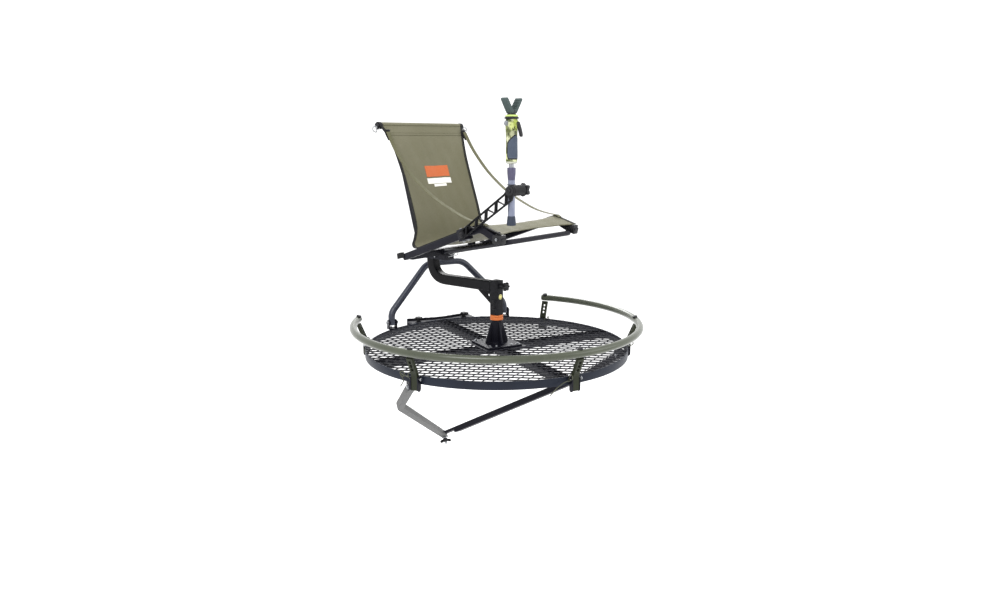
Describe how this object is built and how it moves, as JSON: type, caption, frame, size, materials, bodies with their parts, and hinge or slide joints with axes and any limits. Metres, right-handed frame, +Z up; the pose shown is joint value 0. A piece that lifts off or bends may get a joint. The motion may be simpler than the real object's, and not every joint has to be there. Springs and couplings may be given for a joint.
{
  "type": "hang-on tree stand",
  "caption": "Round expanded-metal tree stand deck with a foot rail, folding tree brace, and a sling seat on an offset turning arm with a rest arm that holds a trigger shooting stick.",
  "frame": {"origin": "on the seat post's axis, at the top face of the deck's hub plate, level with the deck's top edge", "axes": "+Z up, +Y towards the tree, -X is the hunter's right when facing away from the tree"},
  "size_m": [1.1231, 1.1262, 1.5028],
  "materials": {
    "dark_paint": "satin blue-black powder coat",
    "rail_paint": "glossy olive powder coat",
    "grey_paint": "satin grey powder coat",
    "orange_plastic": "moulded orange",
    "black_plastic": "moulded black",
    "sling_fabric": "woven olive",
    "black_webbing": "woven black",
    "zinc": "zinc plated",
    "pole_tube": "satin anodised",
    "leaf_plastic": "leaf-pattern print",
    "lime_plastic": "moulded lime",
    "yoke_rubber": "soft moulded"
  },
  "bodies": {
    "deck": {"deck_rim": "dark_paint", "deck_mesh": "dark_paint", "deck_beams": "dark_paint", "deck_hub_plate": "dark_paint", "post_base": "dark_paint", "swivel_bushing": "orange_plastic", "tree_plate": "dark_paint", "tree_tooth_bar": "dark_paint", "arch_clevis_right": "dark_paint", "arch_pin_right": "zinc", "arch_clevis_left": "dark_paint", "arch_pin_left": "zinc", "brace_bracket_right": "dark_paint", "brace_bracket_left": "dark_paint", "rail_bracket_1": "dark_paint", "rail_bracket_2": "dark_paint", "rail_bracket_3": "dark_paint", "rail_bracket_4": "dark_paint", "rail_bracket_5": "dark_paint", "rail_pin_1": "zinc", "rail_pin_2": "zinc", "rail_pin_3": "zinc", "rail_pin_4": "zinc", "rail_pin_5": "zinc"},
    "tree_knob_right": {"tree_knob_right": "black_plastic"},
    "tree_knob_left": {"tree_knob_left": "black_plastic"},
    "foot_rail": {"foot_rail_tube": "rail_paint", "rail_post_1": "rail_paint", "rail_post_2": "rail_paint", "rail_post_3": "rail_paint", "rail_post_4": "rail_paint", "rail_post_5": "rail_paint"},
    "tree_arch": {"arch_tube": "dark_paint"},
    "brace": {"brace_arm_right": "grey_paint", "brace_arm_left": "dark_paint", "brace_bolt": "zinc"},
    "brace_nut": {"brace_wing_nut": "black_plastic"},
    "turning_arm": {"swivel_spindle": "zinc", "arm_post": "dark_paint", "swing_arm": "dark_paint"},
    "post_lock": {"post_lock_knob": "black_plastic"},
    "seat": {"seat_head": "dark_paint", "rear_bar": "dark_paint", "side_tube_right": "dark_paint", "side_tube_left": "dark_paint", "seat_base_frame": "dark_paint", "seat_sling": "sling_fabric", "side_strap_right": "sling_fabric", "side_strap_left": "sling_fabric", "rest_clamp": "dark_paint"},
    "back": {"back_frame": "dark_paint", "back_sling": "sling_fabric"},
    "rest_arm": {"rest_arm": "dark_paint"},
    "stick_clamp": {"stick_clamp": "black_plastic"},
    "stick_clamp_knob": {"stick_clamp_knob": "black_plastic"},
    "stick_lower": {"stick_tube": "pole_tube"},
    "stick_upper": {"stick_inner_tube": "zinc", "stick_handle": "leaf_plastic"},
    "stick_trigger": {"stick_trigger": "black_plastic"},
    "stick_yoke": {"stick_yoke": "yoke_rubber"}
  },
  "joints": [
    {"name": "rail_lift", "type": "slide", "parent": "deck", "child": "foot_rail", "axis": [0, 0, 1], "range_m": [0, 0.02]},
    {"name": "arch_fold", "type": "hinge", "parent": "deck", "child": "tree_arch", "pos_m": [0, 0.432, 0.028], "axis": [-1, 0, 0], "range_deg": [0, 78]},
    {"name": "brace_fold", "type": "hinge", "parent": "deck", "child": "brace", "pos_m": [0, -0.205, -0.052], "axis": [1, 0, 0], "range_deg": [-45, 28]},
    {"name": "brace_nut_turn", "type": "hinge", "parent": "brace", "child": "brace_nut", "pos_m": [0, 0.51345, -0.54264], "axis": [0, 0.564, 0.8258], "continuous": true},
    {"name": "tree_knob_right_turn", "type": "hinge", "parent": "deck", "child": "tree_knob_right", "pos_m": [-0.11, 0.523, 0], "axis": [0, 0, 1], "continuous": true},
    {"name": "tree_knob_left_turn", "type": "hinge", "parent": "deck", "child": "tree_knob_left", "pos_m": [0.11, 0.523, 0], "axis": [0, 0, 1], "continuous": true},
    {"name": "seat_swivel", "type": "hinge", "parent": "deck", "child": "turning_arm", "pos_m": [0, 0, 0.118], "axis": [0, 0, 1], "continuous": true},
    {"name": "post_lock_turn", "type": "hinge", "parent": "turning_arm", "child": "post_lock", "pos_m": [0.01148, -0.02772, 0.232], "axis": [0.3827, -0.9239, 0], "continuous": true},
    {"name": "seat_tilt", "type": "hinge", "parent": "turning_arm", "child": "seat", "pos_m": [-0.13547, 0.32705, 0.318], "axis": [-0.9239, -0.3827, 0], "range_deg": [0, 75]},
    {"name": "back_fold", "type": "hinge", "parent": "seat", "child": "back", "pos_m": [-0.09873, 0.23836, 0.372], "axis": [0.9239, 0.3827, 0], "range_deg": [0, 40], "deforming": ["side_strap_right", "side_strap_left"]},
    {"name": "rest_arm_swing", "type": "hinge", "parent": "seat", "child": "rest_arm", "pos_m": [-0.20967, -0.13664, 0.453], "axis": [-0.9239, -0.3827, 0], "range_deg": [0, 30]},
    {"name": "stick_tilt", "type": "hinge", "parent": "rest_arm", "child": "stick_clamp", "pos_m": [-0.12147, -0.3339, 0.616], "axis": [0.9239, 0.3827, 0], "range_deg": [-35, 45]},
    {"name": "stick_clamp_knob_turn", "type": "hinge", "parent": "stick_clamp", "child": "stick_clamp_knob", "pos_m": [-0.05294, -0.30335, 0.616], "axis": [0.9239, 0.3827, 0], "continuous": true},
    {"name": "stick_slide", "type": "slide", "parent": "stick_clamp", "child": "stick_lower", "axis": [0, 0, 1], "range_m": [0, 0.05]},
    {"name": "stick_extend", "type": "slide", "parent": "stick_lower", "child": "stick_upper", "axis": [0, 0, 1], "range_m": [0, 0.12]},
    {"name": "trigger_squeeze", "type": "hinge", "parent": "stick_upper", "child": "stick_trigger", "pos_m": [-0.09808, -0.33287, 0.834], "axis": [0.9239, 0.3827, 0], "range_deg": [0, 12], "stiffness_Nm_per_rad": 0.02},
    {"name": "yoke_turn", "type": "hinge", "parent": "stick_upper", "child": "stick_yoke", "pos_m": [-0.10765, -0.30978, 0.87], "axis": [0, 0, 1], "continuous": true}
  ]
}
